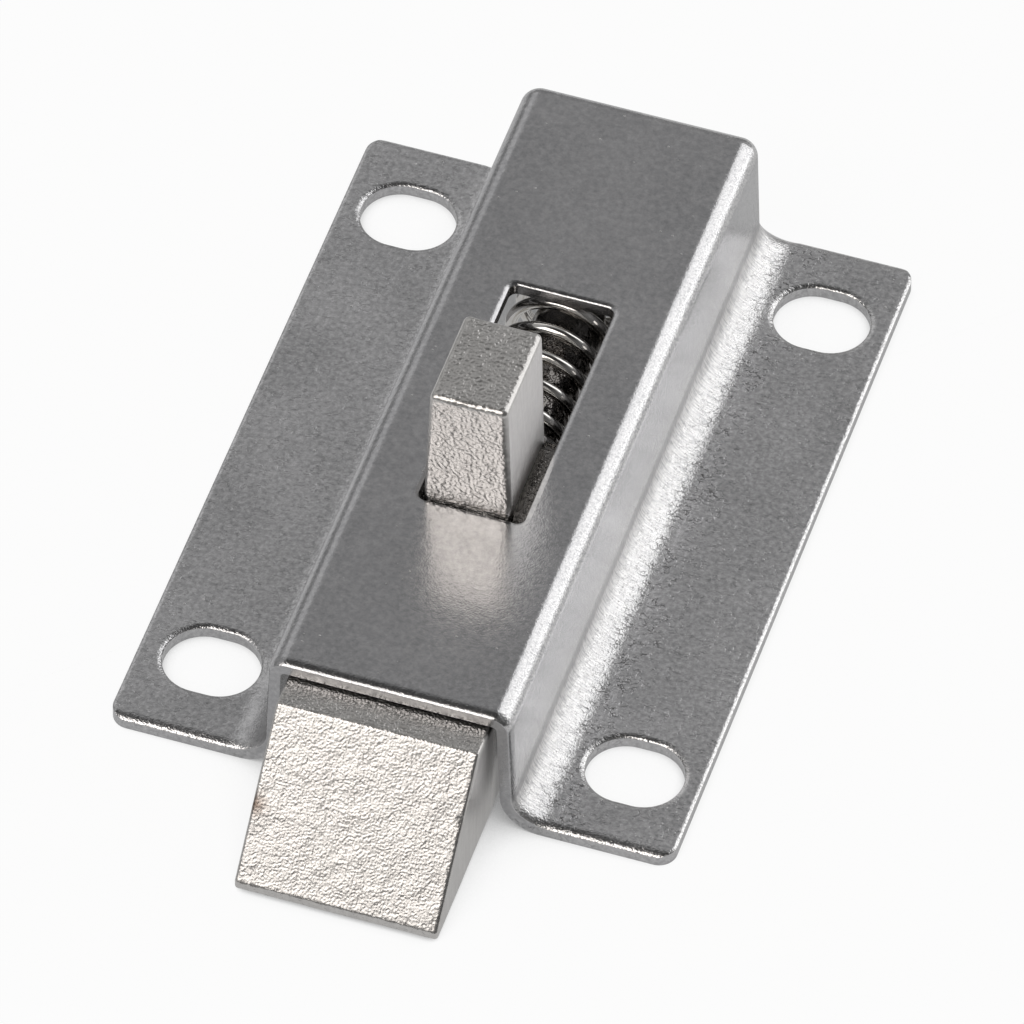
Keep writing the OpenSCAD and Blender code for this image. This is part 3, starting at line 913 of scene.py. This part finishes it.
corners = [(-FLOOR_HALF, -FLOOR_HALF, 0), (FLOOR_HALF, -FLOOR_HALF, 0), (FLOOR_HALF, FLOOR_HALF, 0),
           (-FLOOR_HALF, FLOOR_HALF, 0)]
floor = mesh_object("floor", corners, [[0, 1, 2, 3]])
material, tree, shader = new_material("white_table")
shader.inputs["Base Color"].default_value = colour("F4F4F4")
shader.inputs["Roughness"].default_value = 0.8
shader.inputs["Specular IOR Level"].default_value = 0
path = add(tree, "LightPath").node.outputs
mirrored = path["Is Glossy Ray"]
seen = add(tree, "Math", {0: path["Is Camera Ray"], 1: path["Is Transmission Ray"]}, operation="MAXIMUM")
seen = add(tree, "Math", {0: seen, 1: SEEN_SHARE}, operation="MULTIPLY")
share = add(tree, "Math", {0: seen, 1: mirrored}, operation="MAXIMUM")
open_sky = add(tree, "AmbientOcclusion", {"Distance": SHADOW_REACH}, out="AO", samples=8)
in_metal = {"From Min": 0.2, "From Max": 0.85, "To Min": 0.45, "To Max": 0.6}
dimmer = add(tree, "MapRange", {"Value": open_sky, **in_metal})
shadow = add(tree, "MapRange", {"Value": open_sky, "From Min": 0, "From Max": 0.55, "To Min": 0.2})
strength = add(tree, "Mix", {0: mirrored, 2: shadow, 3: dimmer})
white = add(tree, "Emission", {"Color": colour("FFFFFF"), "Strength": strength})
surface = add(tree, "MixShader", {0: share, 1: shader.outputs[0], 2: white})
tree.links.new(surface, tree.nodes["Material Output"].inputs["Surface"])
dress(floor, material)

# %% [markdown]
# ## Room
# Metal shows what stands around it. The room is a dim grey that rises a little with height, with a dark
# ceiling overhead and a dark corner at the front right, which give the dark lines along some edges. An
# image of a room could be wrapped around too, but ramps need no file and can be set one by one.

# %% Room
DARK_CORNER = (0.6, -0.8, 0)

world = bpy.data.worlds.new("room")
bpy.context.scene.world = world
world.use_nodes = True
tree = world.node_tree
direction = add(tree, "TexCoord", out="Generated")
height = add(tree, "SeparateXYZ", {0: direction}, out="Z")
wall = {"From Min": 0, "From Max": 0.6, "To Min": 0.22, "To Max": 0.33}
room = add(tree, "MapRange", {"Value": height, **wall})
overhead = {"From Min": 0.82, "From Max": 0.93, "To Min": 1, "To Max": 0.12}
ceiling = add(tree, "MapRange", {"Value": height, **overhead})
room = add(tree, "Math", {0: room, 1: ceiling}, operation="MULTIPLY")
towards = add(tree, "VectorMath", {0: direction, 1: DARK_CORNER}, out="Value", operation="DOT_PRODUCT")
shade = {"From Min": 0.1, "From Max": 0.5, "To Min": 1, "To Max": 0.3}
corner = add(tree, "MapRange", {"Value": towards, **shade})
room = add(tree, "Math", {0: room, 1: corner}, operation="MULTIPLY")
tree.links.new(room, tree.nodes["Background"].inputs["Color"])
print("room:", len(tree.nodes), "nodes")

# %% [markdown]
# ## Lamps
# Four soft lamps stand in for a studio. The front softbox lights the nose and the knob. The side panel
# draws the bright bands along the right-hand bends, a low panel beside the table fills the foot bend
# under them, and a weak left panel lifts the left edges. A lamp's energy is set in step with its area,
# so the brightness is what is written, and a lamp can be resized without changing how bright it looks
# in the metal.

# %% Lamps
LAMP_DISTANCE = 0.7


def soft_lamp(name, towards, along, width, height, radiance, tint):
    """Rectangular lamp around the bolt, its long side along a direction, with its brightness given."""
    data = bpy.data.lights.new(name, "AREA")
    data.shape, data.size, data.size_y = "RECTANGLE", width, height
    data.energy = radiance * math.pi * width * height
    data.color = colour(tint)[:3]
    lamp = bpy.data.objects.new(name, data)
    z = Vector(towards).normalized()
    x = (Vector(along) - z * z.dot(Vector(along))).normalized()
    turn = Matrix((x, z.cross(x), z)).transposed()
    lamp.matrix_world = Matrix.Translation(z * LAMP_DISTANCE) @ turn.to_4x4()
    lamp.visible_camera = False
    bpy.context.scene.collection.objects.link(lamp)
    print(name, "%.1f W" % data.energy)


soft_lamp("side_panel", (0.52, 0.62, 0.58), (0.717, -0.109, -0.689), 0.68, 0.35, 1.2, "FFFFFF")
soft_lamp("low_panel", (0.79, 0.6, 0.13), (0.6, -0.79, 0), 0.4, 0.17, 1.2, "FFFFFF")
soft_lamp("front_softbox", (-0.336, -0.548, 0.766), (0.853, -0.523, 0), 0.44, 0.46, 2.55, "FFFAF5")
soft_lamp("left_panel", (-0.56, 0.62, 0.55), (1, 0, 0.6), 0.3, 0.35, 0.25, "FFFFFF")
bpy.context.scene.view_settings.view_transform = "Standard"
